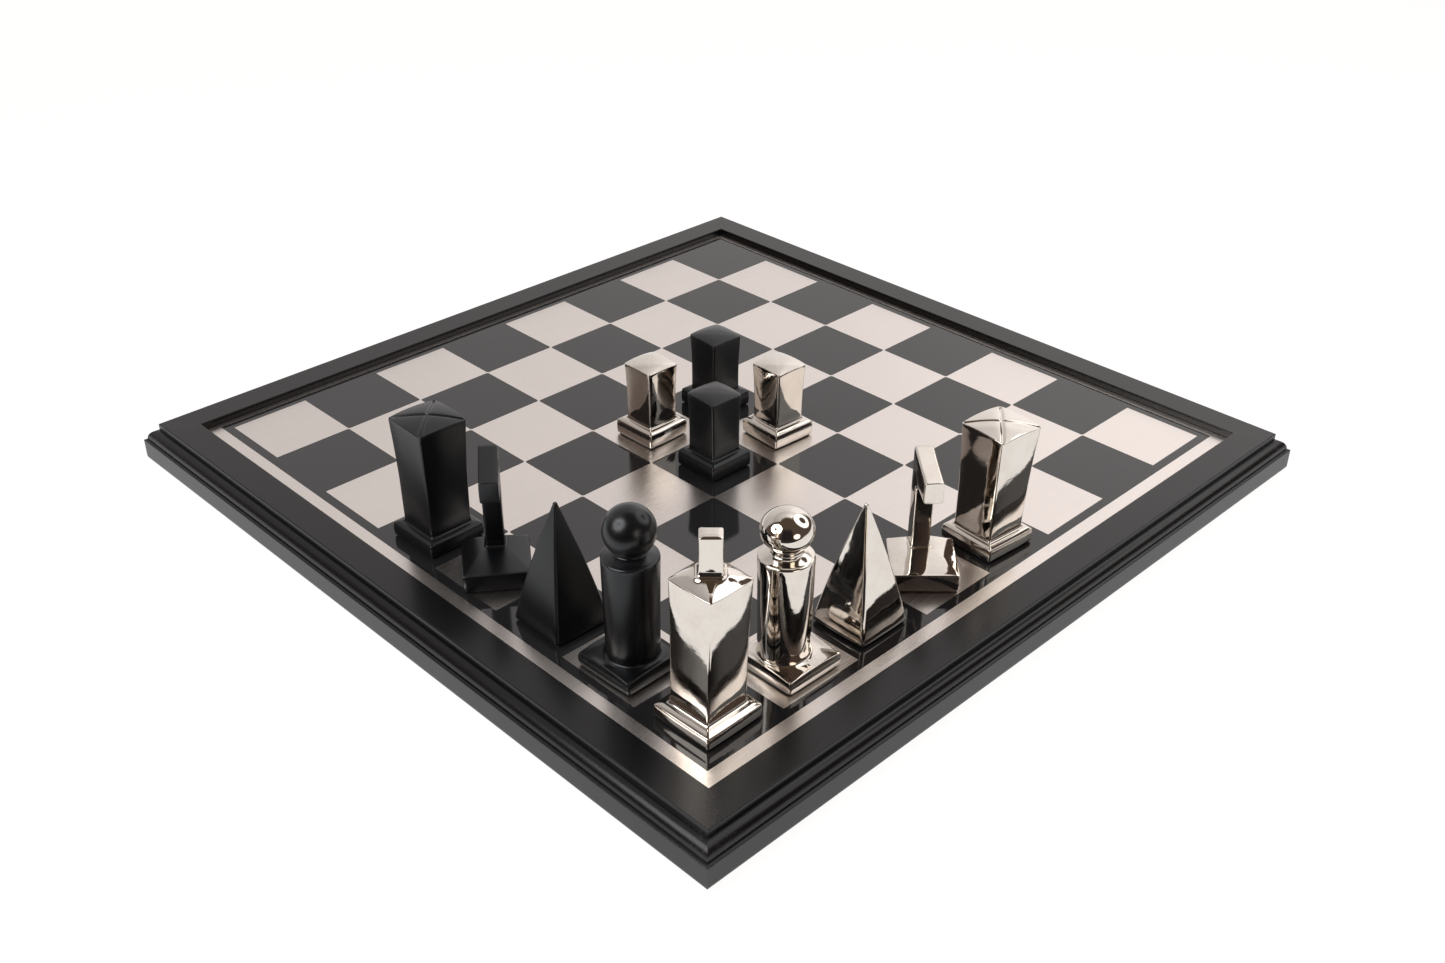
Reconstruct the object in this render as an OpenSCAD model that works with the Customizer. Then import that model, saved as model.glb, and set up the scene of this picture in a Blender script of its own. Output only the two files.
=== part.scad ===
// Chess set: a framed steel board with dark enamel squares, and thirteen cast pieces
// standing on it. The origin is the centre of the board's underside, and +Z is up.

/* [Pattern] */
// Distance from the centre of one square to the next
square_w = 48; // [42:1:60]
// Number of squares along one side
squares = 8; // [8:2:10]
// Width of the dark line round the pattern
line_w = 5.2; // [3:0.1:7]
// How far the dark line reaches out from the pattern's outer squares
line_out = 2.2; // [1:0.1:3]
// How far the pattern lies off the middle of the plate, along X
shift_x = 2; // [-3:0.5:3]
// How far the pattern lies off the middle of the plate, along Y
shift_y = 3; // [-3:0.5:3]
// Small corner cut that keeps neighbouring dark squares apart
bridge_cut = 0.9; // [0.5:0.1:2]
// Depth of the dark enamel
enamel_t = 0.4; // [0.2:0.1:0.6]

/* [Board] */
// Steel left between the pattern's outer grid line and the wall of the recess
margin_w = 9.4; // [8:0.1:16]
// Thickness of the steel plate
plate_t = 1.2; // [0.8:0.1:2]
// How far the plate lies below the top of the frame
recess_d = 4; // [2:0.5:6]
// Gap round the steel plate in its recess
plate_gap = 0.3; // [0.1:0.1:0.6]
// Gap round the base panel in its rabbet
panel_gap = 0.2; // [0.1:0.1:0.5]
// Thickness of the felt under the board
base_felt_t = 1.2; // [0.8:0.1:2]
// Distance from the edge of the board to the edge of its felt
base_felt_inset = 4; // [3:0.5:10]

/* [Frame] */
// Width of the flat top of a rail
slab_w = 16.7; // [14:0.1:28]
// Height of a rail's upper part above its ledge
slab_h = 10; // [8.5:0.5:14]
// Height of a rail's base part, up to its ledge
rail_base_h = 12.8; // [10:0.2:20]
// Radius of the quarter round under a rail's top
ovolo_r = 4.9; // [3:0.1:6]
// Height of the small upright under the quarter round
ovolo_foot = 0.4; // [0.2:0.1:1]
// Width of the ledge outside the quarter round
ledge_w = 2.2; // [1.5:0.1:4]
// Radius of the rail's bottom edge
rail_bottom_r = 2.4; // [1:0.1:4]
// Width of the rabbet that holds the base panel
rabbet_w = 8; // [5:0.5:10]

/* [Corner keys] */
// Thickness of a corner key
key_t = 3; // [2:0.5:4]
// Width of a key's two legs
key_w = 6; // [4:0.5:7]
// Length of a key's legs, from the middle of its corner
key_leg = 26; // [14:1:40]
// Gap round a key in its slot
key_gap = 0.1; // [0.05:0.05:0.3]

/* [King] */
// Width of the king's plinth
king_plinth_w = 33; // [26:0.2:40]
// Height of the plinth's upright band
king_plinth_h = 7; // [4:0.2:10]
// Width of the column at its foot
king_foot_w = 23.2; // [18:0.2:26]
// Width of the column at its shoulders
king_top_w = 24.6; // [19:0.2:30]
// Height of the shoulders above the square
king_shoulder_z = 71.4; // [56:0.2:90]
// Height of the roof above the shoulders
king_roof_h = 3.6; // [2:0.2:6]
// Width of the finial
finial_w = 10.4; // [7:0.2:14]
// Thickness of the finial
finial_t = 9; // [5:0.2:12]
// Height of the finial above the shoulders
finial_h = 22.8; // [14:0.2:28]

/* [Queen] */
// Width of the queen's plinth
queen_plinth_w = 32.8; // [28:0.2:40]
// Height of the plinth's upright band
queen_plinth_h = 6.8; // [3:0.2:8]
// Width of the flat middle of the plinth's hipped top
queen_hip_w = 19; // [16:0.5:24]
// Height of the plinth's hipped top above the band
queen_hip_h = 1; // [0.4:0.2:6]
// Diameter of the column at its foot
queen_foot_d = 24.2; // [18:0.2:27]
// Diameter of the column at its shoulder
queen_top_d = 25.4; // [20:0.2:30]
// Height of the shoulder's lower edge above the square
queen_shoulder_z = 58.6; // [42:0.2:64]
// Height of the sloping shoulder
queen_shoulder_h = 2.4; // [1:0.2:4]
// Diameter of the neck
queen_neck_d = 14; // [12:0.2:19]
// Diameter of the ball
queen_ball_d = 23.6; // [20:0.2:29]
// Height of the ball's centre above the square
queen_ball_z = 71; // [66:0.2:84]

/* [Bishop] */
// Width of the bishop's base
bishop_w = 31; // [24:0.2:38]
// Height of the bishop above the square
bishop_h = 64.4; // [52:0.2:80]
// How much wider the bishop is half way up than a straight pyramid
bishop_bow = 1.8; // [0:0.2:4]
// Width of the bishop's blunt tip
bishop_tip_w = 1.8; // [1:0.2:4]

/* [Knight] */
// Width of the knight's base
knight_w = 32.4; // [26:0.2:40]
// Height of the knight's base
knight_base_h = 9.8; // [6:0.2:14]
// Width of the post and the head
knight_head_w = 9; // [6:0.1:12]
// Depth of the post at its foot
knight_post_d = 9.4; // [7:0.2:12]
// Height of the knight at the back of its head
knight_h = 62.4; // [50:0.2:76]
// Reach of the head from the back of the post
knight_reach = 25.4; // [20:0.2:31]
// How far the top of the head falls towards its front
knight_fall = 6.4; // [3:0.2:12]
// Height of the knight's upright front face
knight_face_h = 10.8; // [8:0.2:15]
// How far the underside of the head rises from its throat to its front face
knight_throat_h = 3.4; // [2:0.2:6]
// Distance from the back of the knight's base to the back of its post
knight_back_inset = 0.7; // [0.4:0.1:2]
// Width and height of the bevel round the top of the knight's base
knight_bevel = 0.7; // [0.4:0.1:1.6]

/* [Rook] */
// Width of the rook's plinth
rook_plinth_w = 32; // [26:0.2:40]
// Height of the plinth's upright band
rook_plinth_h = 7.8; // [4:0.2:10]
// Width of the column at its foot
rook_foot_w = 23.6; // [18:0.2:26]
// Width of the column at its top
rook_top_w = 26.2; // [19:0.2:31]
// Height of the column's top edges above the square
rook_top_z = 65.8; // [52:0.2:80]
// Height of the low roof
rook_roof_h = 2.4; // [1.6:0.2:5]
// Width of the flat middle of the roof
rook_flat_w = 1.8; // [1:0.2:6]
// Depth of the two grooves that cross on the roof
rook_groove_d = 0.7; // [0.4:0.1:1.2]

/* [Pawn] */
// Width of the pawn's plinth
pawn_plinth_w = 27.8; // [23:0.2:34]
// Height of the plinth's upright band
pawn_plinth_h = 9; // [4:0.2:12]
// Width of the column at its foot
pawn_foot_w = 19.4; // [14:0.2:22]
// Width of the column at its top
pawn_top_w = 20.4; // [15:0.2:25]
// Height of the column's top edges above the square
pawn_top_z = 43.4; // [34:0.2:52]
// Height of the domed top
pawn_roof_h = 2; // [1:0.2:4]
// Width of the flat middle of the domed top
pawn_flat_w = 8; // [4:0.5:14]

/* [Castings] */
// Height of the slope between a plinth's band and its column
cove_h = 3; // [2:0.2:5]
// How far the foot of that slope is set in from the band
step_in = 0.6; // [0.3:0.1:1.5]
// Radius of the upright edges of the castings
edge_r = 0.8; // [0.4:0.1:1.6]
// Thickness of the felt under a piece
felt_t = 0.8; // [0.5:0.1:1.5]
// Distance from the edge of a casting to the edge of its felt
felt_inset = 1.4; // [1:0.1:3]

/* [Hidden] */

pattern_half = squares * square_w / 2;
recess_half = pattern_half + margin_w;
slab_half = recess_half + slab_w;
board_half = slab_half + ovolo_r + ledge_w;
base_bottom = base_felt_t;
ledge_z = base_bottom + rail_base_h;
frame_top = ledge_z + slab_h;
plate_top = frame_top - recess_d;
panel_top = plate_top - plate_t;
rabbet_half = recess_half + rabbet_w;
key_mid = (rabbet_half + board_half - ovolo_r) / 2;
key_z = base_bottom + rail_base_h / 2;

dark = [0.12, 0.12, 0.13];
steel = [0.78, 0.75, 0.73];
nickel = [0.84, 0.82, 0.78];
board_black = [0.16, 0.16, 0.17];
felt_black = [0.05, 0.05, 0.05];
eps = 0.01;

// Where each piece stands: column, row, small offsets as set down by hand, and turn
king_at = [0, 0, -2.5, -2, 0.8];
silver_queen_at = [1, 0, -0.4, -1.6, -0.5];
silver_bishop_at = [2, 0, -2.2, -2.5, 0];
silver_knight_at = [3, 0, 0.2, 2, -44.5];
silver_rook_at = [4, 0, -1.7, -1.8, -4.3];
silver_pawn_1_at = [3, 4, -2, -0.5, 1];
silver_pawn_2_at = [4, 3, -0.2, -0.8, -3.7];
black_queen_at = [0, 1, -2.7, -1.2, 1.5];
black_bishop_at = [0, 2, -3.6, -2.9, -0.5];
black_knight_at = [0, 3, -1.4, 0.2, -36];
black_rook_at = [0, 4, -2.5, -2.2, 0.6];
black_pawn_1_at = [3, 3, -1.1, -0.8, -0.6];
black_pawn_2_at = [4, 4, -0.9, -0.2, -3];

// Centre of a square, measured from the middle of the board
function square_x(column) = (column + 0.5) * square_w - pattern_half + shift_x;
function square_y(row) = (row + 0.5) * square_w - pattern_half + shift_y;

// ---- Frame ----

// Section of a rail: X is the distance from the middle of the board, Y is height
module rail_section() {
    difference() {
        union() {
            translate([recess_half, ledge_z - eps])
                square([slab_w, slab_h + eps]);
            translate([slab_half - eps, ledge_z - eps])
                square([ovolo_r + eps, ovolo_foot + eps]);
            intersection() {
                translate([slab_half, ledge_z + ovolo_foot])
                    circle(r = ovolo_r, $fn = 64);
                translate([slab_half - eps, ledge_z + ovolo_foot - eps])
                    square([ovolo_r + 1, ovolo_r + 1]);
            }
            translate([recess_half, base_bottom + rail_bottom_r])
                square([board_half - recess_half, rail_base_h - rail_bottom_r]);
            translate([recess_half, base_bottom])
                square([board_half - recess_half - rail_bottom_r, rail_base_h]);
            translate([board_half - rail_bottom_r, base_bottom + rail_bottom_r])
                circle(r = rail_bottom_r, $fn = 64);
        }
        translate([recess_half - 1, base_bottom - 1])
            square([rabbet_w + 1, panel_top - base_bottom + 1]);
    }
}

// One rail, on the board's +X side before it is turned, with both ends mitred
module rail(turn) {
    reach = board_half + 1;
    rotate(turn)
        difference() {
            intersection() {
                rotate([90, 0, 0])
                    linear_extrude(height = 2 * board_half, center = true)
                        rail_section();
                linear_extrude(height = frame_top + 1)
                    polygon([[0, 0], [reach, reach], [reach, -reach]]);
            }
            corner_key(key_gap);
            rotate(-90)
                corner_key(key_gap);
        }
}

// The flat L-shaped key hidden in the +X +Y corner, or its slot when gap is given
module corner_key(gap) {
    low = key_mid - key_leg - gap;
    leg = [key_leg + key_w / 2 + 2 * gap, key_w + 2 * gap, key_t + gap];
    translate([low, key_mid - key_w / 2 - gap, key_z])
        cube(leg);
    translate([key_mid - key_w / 2 - gap, low, key_z])
        cube([leg[1], leg[0], leg[2]]);
}

module front_rail() { color(board_black) rail(-90); }
module right_rail() { color(board_black) rail(0); }
module back_rail() { color(board_black) rail(90); }
module left_rail() { color(board_black) rail(180); }

module corner_keys() {
    color("tan")
        for (turn = [0:90:270])
            rotate(turn)
                corner_key(0);
}

// ---- Panel, plate and squares ----

module base_panel() {
    side = 2 * (rabbet_half - panel_gap);
    color("peru")
        translate([-side / 2, -side / 2, base_bottom])
            cube([side, side, panel_top - base_bottom]);
}

module base_felt() {
    side = 2 * (board_half - base_felt_inset);
    color(felt_black)
        translate([-side / 2, -side / 2, 0])
            cube([side, side, base_felt_t]);
}

// One dark square with its corners cut, from the enamel's underside up by height
module dark_square(column, row, height) {
    a = square_w / 2;
    b = a - bridge_cut;
    translate([square_x(column), square_y(row), plate_top - enamel_t])
        linear_extrude(height = height)
            polygon([[b, -a], [a, -b], [a, b], [b, a], [-b, a], [-a, b], [-a, -b], [-b, -a]]);
}

// Every dark square, joined at the pattern's edge by the dark line round it
module enamel(height) {
    outer = 2 * (pattern_half + line_out);
    inner = outer - 2 * line_w;
    for (column = [0 : squares - 1])
        for (row = [0 : squares - 1])
            if ((column + row) % 2 == 0)
                dark_square(column, row, height);
    translate([shift_x, shift_y, plate_top - enamel_t])
        difference() {
            translate([-outer / 2, -outer / 2, 0])
                cube([outer, outer, height]);
            translate([-inner / 2, -inner / 2, -1])
                cube([inner, inner, height + 2]);
        }
}

module steel_plate() {
    side = 2 * (recess_half - plate_gap);
    color(steel)
        difference() {
            translate([-side / 2, -side / 2, panel_top])
                cube([side, side, plate_t]);
            enamel(enamel_t + 1);
        }
}

module enamel_squares() { color(dark) enamel(enamel_t); }

// ---- Shapes shared by the pieces ----

// Puts a piece down on its square; at is [column, row, offset x, offset y, turn]
module on_square(at) {
    translate([square_x(at[0]) + at[2], square_y(at[1]) + at[3], plate_top])
        rotate(at[4])
            children();
}

// Thin square sheet with rounded corners, standing at height z
module sheet(w, z, r = edge_r) {
    translate([0, 0, z])
        linear_extrude(height = eps)
            hull()
                for (x = [-1, 1], y = [-1, 1])
                    translate([x * (w / 2 - r), y * (w / 2 - r)])
                        circle(r = r, $fn = 16);
}

// Square solid whose width goes from w0 at z0 to w1 at z1
module taper(w0, z0, w1, z1) {
    hull() {
        sheet(w0, z0);
        sheet(w1, z1 - eps);
    }
}

// Upright band of a plinth, with the small step and the slope that lead to a column
module plinth(w, band_h, column_w) {
    taper(w, felt_t, w, band_h);
    taper(w - 2 * step_in, band_h - eps, column_w, band_h + cove_h);
}

module piece_felt(w) {
    side = w - 2 * felt_inset;
    color(felt_black)
        translate([-side / 2, -side / 2, 0])
            cube([side, side, felt_t]);
}

// ---- The pieces ----

module king_casting() {
    plinth(king_plinth_w, king_plinth_h, king_foot_w);
    taper(king_foot_w, king_plinth_h + cove_h - eps, king_top_w, king_shoulder_z);
    taper(king_top_w, king_shoulder_z - eps, finial_w, king_shoulder_z + king_roof_h);
    rotate(45)
        translate([-finial_t / 2, -finial_w / 2, king_shoulder_z])
            cube([finial_t, finial_w, finial_h]);
}

module queen_casting() {
    hip_z = queen_plinth_h + queen_hip_h;
    neck_z = queen_shoulder_z + queen_shoulder_h;
    taper(queen_plinth_w, felt_t, queen_plinth_w, queen_plinth_h);
    taper(queen_plinth_w, queen_plinth_h - eps, queen_hip_w, hip_z);
    translate([0, 0, queen_plinth_h])
        cylinder(d1 = queen_foot_d, d2 = queen_top_d, h = queen_shoulder_z - queen_plinth_h, $fn = 96);
    translate([0, 0, queen_shoulder_z])
        cylinder(d1 = queen_top_d, d2 = queen_neck_d, h = queen_shoulder_h, $fn = 96);
    translate([0, 0, neck_z - eps])
        cylinder(d = queen_neck_d, h = queen_ball_z - neck_z, $fn = 96);
    translate([0, 0, queen_ball_z])
        sphere(d = queen_ball_d, $fn = 96);
}

// Four-sided pyramid with bowed sides, as a stack of tapers that narrow towards the tip
module bishop_casting() {
    steps = 6;
    function bowed_w(t) = bishop_w * (1 - t) + bishop_tip_w * t + bishop_bow * 4 * t * (1 - t);
    rise = (bishop_h - felt_t) / steps;
    for (k = [0 : steps - 1])
        taper(bowed_w(k / steps), felt_t + k * rise,
              bowed_w((k + 1) / steps), felt_t + (k + 1) * rise + eps);
}

// The knight faces -Y before it is turned
module knight_casting() {
    back_y = knight_w / 2 - knight_back_inset;
    front_y = back_y - knight_reach;
    top_front_z = knight_h - knight_fall;
    face_z = top_front_z - knight_face_h;
    post_front_y = back_y - knight_post_d;
    bevel_z = knight_base_h - knight_bevel;
    taper(knight_w, felt_t, knight_w, bevel_z);
    taper(knight_w, bevel_z - eps, knight_w - 2 * knight_bevel, knight_base_h);
    translate([-knight_head_w / 2, 0, 0])
        rotate([90, 0, 90])
            linear_extrude(height = knight_head_w)
                polygon([
                    [back_y, bevel_z], [back_y, knight_h], [front_y, top_front_z],
                    [front_y, face_z], [post_front_y - knight_throat_h, face_z],
                    [post_front_y, face_z - knight_throat_h], [post_front_y, bevel_z]
                ]);
}

// One of the two grooves that cross on the rook's roof
module roof_groove(turn) {
    side = rook_groove_d * sqrt(2);
    rotate(turn)
        translate([0, 0, rook_top_z + rook_roof_h])
            rotate([0, 45, 0])
                cube([side, rook_top_w * 1.5, side], center = true);
}

module rook_casting() {
    plinth(rook_plinth_w, rook_plinth_h, rook_foot_w);
    taper(rook_foot_w, rook_plinth_h + cove_h - eps, rook_top_w, rook_top_z);
    difference() {
        taper(rook_top_w, rook_top_z - eps, rook_flat_w, rook_top_z + rook_roof_h);
        roof_groove(45);
        roof_groove(-45);
    }
}

module pawn_casting() {
    plinth(pawn_plinth_w, pawn_plinth_h, pawn_foot_w);
    taper(pawn_foot_w, pawn_plinth_h + cove_h - eps, pawn_top_w, pawn_top_z);
    taper(pawn_top_w, pawn_top_z - eps, pawn_flat_w, pawn_top_z + pawn_roof_h);
}

module silver_king() { color(nickel) on_square(king_at) king_casting(); }
module silver_queen() { color(nickel) on_square(silver_queen_at) queen_casting(); }
module silver_bishop() { color(nickel) on_square(silver_bishop_at) bishop_casting(); }
module silver_knight() { color(nickel) on_square(silver_knight_at) knight_casting(); }
module silver_rook() { color(nickel) on_square(silver_rook_at) rook_casting(); }
module silver_pawn_1() { color(nickel) on_square(silver_pawn_1_at) pawn_casting(); }
module silver_pawn_2() { color(nickel) on_square(silver_pawn_2_at) pawn_casting(); }
module black_queen() { color(dark) on_square(black_queen_at) queen_casting(); }
module black_bishop() { color(dark) on_square(black_bishop_at) bishop_casting(); }
module black_knight() { color(dark) on_square(black_knight_at) knight_casting(); }
module black_rook() { color(dark) on_square(black_rook_at) rook_casting(); }
module black_pawn_1() { color(dark) on_square(black_pawn_1_at) pawn_casting(); }
module black_pawn_2() { color(dark) on_square(black_pawn_2_at) pawn_casting(); }

module silver_king_felt() { on_square(king_at) piece_felt(king_plinth_w); }
module silver_queen_felt() { on_square(silver_queen_at) piece_felt(queen_plinth_w); }
module silver_bishop_felt() { on_square(silver_bishop_at) piece_felt(bishop_w); }
module silver_knight_felt() { on_square(silver_knight_at) piece_felt(knight_w); }
module silver_rook_felt() { on_square(silver_rook_at) piece_felt(rook_plinth_w); }
module silver_pawn_1_felt() { on_square(silver_pawn_1_at) piece_felt(pawn_plinth_w); }
module silver_pawn_2_felt() { on_square(silver_pawn_2_at) piece_felt(pawn_plinth_w); }
module black_queen_felt() { on_square(black_queen_at) piece_felt(queen_plinth_w); }
module black_bishop_felt() { on_square(black_bishop_at) piece_felt(bishop_w); }
module black_knight_felt() { on_square(black_knight_at) piece_felt(knight_w); }
module black_rook_felt() { on_square(black_rook_at) piece_felt(rook_plinth_w); }
module black_pawn_1_felt() { on_square(black_pawn_1_at) piece_felt(pawn_plinth_w); }
module black_pawn_2_felt() { on_square(black_pawn_2_at) piece_felt(pawn_plinth_w); }

front_rail();
right_rail();
back_rail();
left_rail();
corner_keys();
base_panel();
steel_plate();
enamel_squares();
base_felt();
silver_king();
silver_queen();
silver_bishop();
silver_knight();
silver_rook();
silver_pawn_1();
silver_pawn_2();
black_queen();
black_bishop();
black_knight();
black_rook();
black_pawn_1();
black_pawn_2();
silver_king_felt();
silver_queen_felt();
silver_bishop_felt();
silver_knight_felt();
silver_rook_felt();
silver_pawn_1_felt();
silver_pawn_2_felt();
black_queen_felt();
black_bishop_felt();
black_knight_felt();
black_rook_felt();
black_pawn_1_felt();
black_pawn_2_felt();
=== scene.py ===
import math
import bpy
import bmesh
from mathutils import Matrix, Vector, noise


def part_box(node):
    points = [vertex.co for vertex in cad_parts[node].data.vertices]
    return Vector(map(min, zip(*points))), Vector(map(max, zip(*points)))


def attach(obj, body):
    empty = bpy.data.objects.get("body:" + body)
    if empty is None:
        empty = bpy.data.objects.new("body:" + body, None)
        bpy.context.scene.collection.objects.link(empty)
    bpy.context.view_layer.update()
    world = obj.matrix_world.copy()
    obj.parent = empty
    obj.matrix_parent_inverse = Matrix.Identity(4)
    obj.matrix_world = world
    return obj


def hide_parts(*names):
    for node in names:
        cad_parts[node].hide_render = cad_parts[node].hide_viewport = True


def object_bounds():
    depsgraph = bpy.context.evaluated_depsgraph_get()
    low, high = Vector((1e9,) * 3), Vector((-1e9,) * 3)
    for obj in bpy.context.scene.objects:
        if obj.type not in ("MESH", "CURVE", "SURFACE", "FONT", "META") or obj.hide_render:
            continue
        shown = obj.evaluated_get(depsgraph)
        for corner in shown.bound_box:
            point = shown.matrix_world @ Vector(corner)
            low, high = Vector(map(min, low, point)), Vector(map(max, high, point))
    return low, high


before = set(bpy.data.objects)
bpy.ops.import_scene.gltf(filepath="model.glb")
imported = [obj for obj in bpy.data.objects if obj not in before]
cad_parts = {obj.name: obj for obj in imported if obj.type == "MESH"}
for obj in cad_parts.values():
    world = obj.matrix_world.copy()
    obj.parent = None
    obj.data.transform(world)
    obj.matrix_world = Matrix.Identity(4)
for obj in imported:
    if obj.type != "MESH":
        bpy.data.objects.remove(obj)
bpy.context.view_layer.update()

mm = 0.001
print("frame loaded:", len(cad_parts), "nodes")


class Wire:
    # one output socket, so that shader maths reads as plain expressions
    def __init__(self, look, socket):
        self.look = look
        self.socket = socket

    def join(self, kind, a, b):
        return self.look.node("ShaderNodeMath", {"operation": kind}, {0: a, 1: b})

    def __add__(self, other):
        return self.join("ADD", self, other)

    def __radd__(self, other):
        return self.join("ADD", other, self)

    def __sub__(self, other):
        return self.join("SUBTRACT", self, other)

    def __rsub__(self, other):
        return self.join("SUBTRACT", other, self)

    def __mul__(self, other):
        return self.join("MULTIPLY", self, other)

    def __rmul__(self, other):
        return self.join("MULTIPLY", other, self)

    def __truediv__(self, other):
        return self.join("DIVIDE", self, other)

    def __pow__(self, other):
        return self.join("POWER", self, other)


class Look:
    # a material's tree, or the world's
    def __init__(self, name, world=False):
        self.data = (bpy.data.worlds if world else bpy.data.materials).new(name)
        self.data.use_nodes = True
        self.tree = self.data.node_tree
        self.tree.nodes.clear()
        out = self.tree.nodes.new("ShaderNodeOutputWorld" if world else "ShaderNodeOutputMaterial")
        self.surface = out.inputs["Surface"]

    def node(self, kind, settings=None, sockets=None, output=0):
        made = self.tree.nodes.new(kind)
        for key, value in (settings or {}).items():
            if key == "stops":
                ramp = made.color_ramp
                while len(ramp.elements) < len(value):
                    ramp.elements.new(0.5)
                for element, (place, color) in zip(ramp.elements, value):
                    element.position = place
                    element.color = color
            else:
                setattr(made, key, value)
        for key, value in (sockets or {}).items():
            if isinstance(value, Wire):
                self.tree.links.new(value.socket, made.inputs[key])
            else:
                made.inputs[key].default_value = value
        return Wire(self, made.outputs[output])

    def coords(self, scale=(1, 1, 1)):
        raw = self.node("ShaderNodeTexCoord", output="Object")
        return self.node("ShaderNodeMapping", None, {"Vector": raw, "Scale": scale})

    def cloud(self, coords, scale, detail=4, rough=0.55, warp=0.0):
        return self.node("ShaderNodeTexNoise", None, {
            "Vector": coords, "Scale": scale, "Detail": detail, "Roughness": rough, "Distortion": warp})

    def ramp(self, value, stops):
        grey = [(place, (g, g, g, 1)) for place, g in stops]
        return self.node("ShaderNodeValToRGB", {"stops": grey}, {"Fac": value})

    def blend(self, factor, a, b):
        mix = self.tree.nodes.new("ShaderNodeMix")
        mix.data_type = "RGBA"
        for key, value in ((0, factor), (6, a), (7, b)):
            if isinstance(value, Wire):
                self.tree.links.new(value.socket, mix.inputs[key])
            else:
                mix.inputs[key].default_value = value if key == 0 else (*value, 1)
        return Wire(self, mix.outputs[2])

    def dot(self, ray, way):
        return self.node("ShaderNodeVectorMath", {"operation": "DOT_PRODUCT"}, {0: ray, 1: way},
                         output="Value")

    def bump(self, height, strength, distance):
        return self.node("ShaderNodeBump", None, {
            "Height": height, "Strength": strength, "Distance": distance})

    def finish(self, **sockets):
        named = {key.replace("_", " "): value for key, value in sockets.items()}
        shader = self.node("ShaderNodeBsdfPrincipled", None, named)
        self.tree.links.new(shader.socket, self.surface)
        return self.data


def lacquerLook(name, grainWay):
    settings = {"black": (0.0035, 0.0034, 0.004), "rubbed": (0.026, 0.025, 0.027), "rough": 0.22}
    look = Look(name)

    def drawnOut(along, across):     # coordinates drawn out the way the rail runs
        return look.coords([along if axis == grainWay else across for axis in range(3)])
    fibre = look.cloud(drawnOut(3, 90), 9, 6, 0.6)
    patch = look.cloud(look.coords(), 14, 5, 0.6)
    scratch = look.ramp(look.cloud(drawnOut(12, 260), 6, 3, 0.5, 0.4), [(0.66, 0), (0.72, 1)])
    edge = look.node("ShaderNodeAttribute", {"attribute_name": "rub"}, output="Fac")
    chips = look.ramp(look.cloud(look.coords(), 420, 5, 0.7), [(0.5, 0), (0.62, 1)])
    wear = edge * (0.25 + 0.75 * chips)
    color = look.blend(wear * 0.8, settings["black"], settings["rubbed"])
    rough = settings["rough"] + 0.05 * patch + 0.05 * scratch + 0.1 * wear
    height = fibre * 0.4 + patch * 0.3 + scratch * 0.1
    return look.finish(Base_Color=color, Roughness=rough, IOR=1.42,
                       Normal=look.bump(height, 0.08, 0.0003))


def brushedLook():
    settings = {"light": (0.80, 0.745, 0.705), "dull": (0.70, 0.65, 0.62), "rough": 0.22}
    look = Look("brushedPlate")
    streak = look.cloud(look.coords((2.2, 190, 1)), 14, 8, 0.7)
    fine = look.cloud(look.coords((9, 900, 1)), 14, 5, 0.75)
    patch = look.cloud(look.coords(), 9, 4, 0.6)
    tone = look.ramp(streak * 0.5 + patch * 0.5, [(0.3, 0), (0.7, 1)])
    color = look.blend(tone, settings["dull"], settings["light"])
    rough = settings["rough"] + 0.08 * streak + 0.05 * patch
    return look.finish(Base_Color=color, Metallic=1.0, Roughness=rough,
                       Normal=look.bump(streak * 0.5 + fine * 0.5, 0.09, 0.0002))


def enamelLook():
    settings = {"dark": (0.0125, 0.0122, 0.0135), "faded": (0.021, 0.0205, 0.022)}
    look = Look("darkEnamel")
    patch = look.cloud(look.coords(), 24, 5, 0.6)
    ripple = look.cloud(look.coords(), 60, 3, 0.5)
    specks = look.ramp(look.cloud(look.coords(), 900, 2, 0.5), [(0.74, 0), (0.77, 1)])
    color = look.blend(patch, settings["dark"], settings["faded"])
    rough = 0.045 + 0.05 * patch + 0.25 * specks
    return look.finish(Base_Color=color, Roughness=rough, IOR=1.52,
                       Normal=look.bump(ripple, 0.02, 0.0003))


def nickelLook():
    settings = {"bright": (0.73, 0.685, 0.63), "warm": (0.60, 0.54, 0.47), "rough": 0.035}
    look = Look("silverCasting")
    wave = look.cloud(look.coords(), 60, 3, 0.5)
    polish = look.cloud(look.coords((1, 1, 6)), 160, 4, 0.6)
    haze = look.ramp(look.cloud(look.coords(), 90, 5, 0.65), [(0.45, 0), (0.75, 1)])
    edge = look.node("ShaderNodeAttribute", {"attribute_name": "rub"}, output="Fac")
    color = look.blend(haze * 0.5, settings["bright"], settings["warm"])
    rough = settings["rough"] + 0.07 * haze + 0.05 * edge
    return look.finish(Base_Color=color, Metallic=1.0, Roughness=rough,
                       Normal=look.bump(wave * 0.8 + polish * 0.06, 0.14, 0.0012))


def blackCoatLook():
    settings = {"black": (0.0024, 0.0028, 0.0035), "rubbed": (0.014, 0.0146, 0.0168), "rough": 0.28}
    look = Look("blackCasting")
    patch = look.cloud(look.coords(), 70, 5, 0.6)
    grain = look.cloud(look.coords(), 1500, 3, 0.6)
    edge = look.node("ShaderNodeAttribute", {"attribute_name": "rub"}, output="Fac")
    worn = edge * look.ramp(patch, [(0.3, 0.25), (0.65, 1)])
    color = look.blend(worn, settings["black"], settings["rubbed"])
    rough = settings["rough"] + 0.03 * patch - 0.05 * worn
    return look.finish(Base_Color=color, Roughness=rough, IOR=1.5, Specular_Tint=(0.93, 0.965, 1, 1),
                       Normal=look.bump(patch * 0.3 + grain * 0.06, 0.04, 0.0006))


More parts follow.
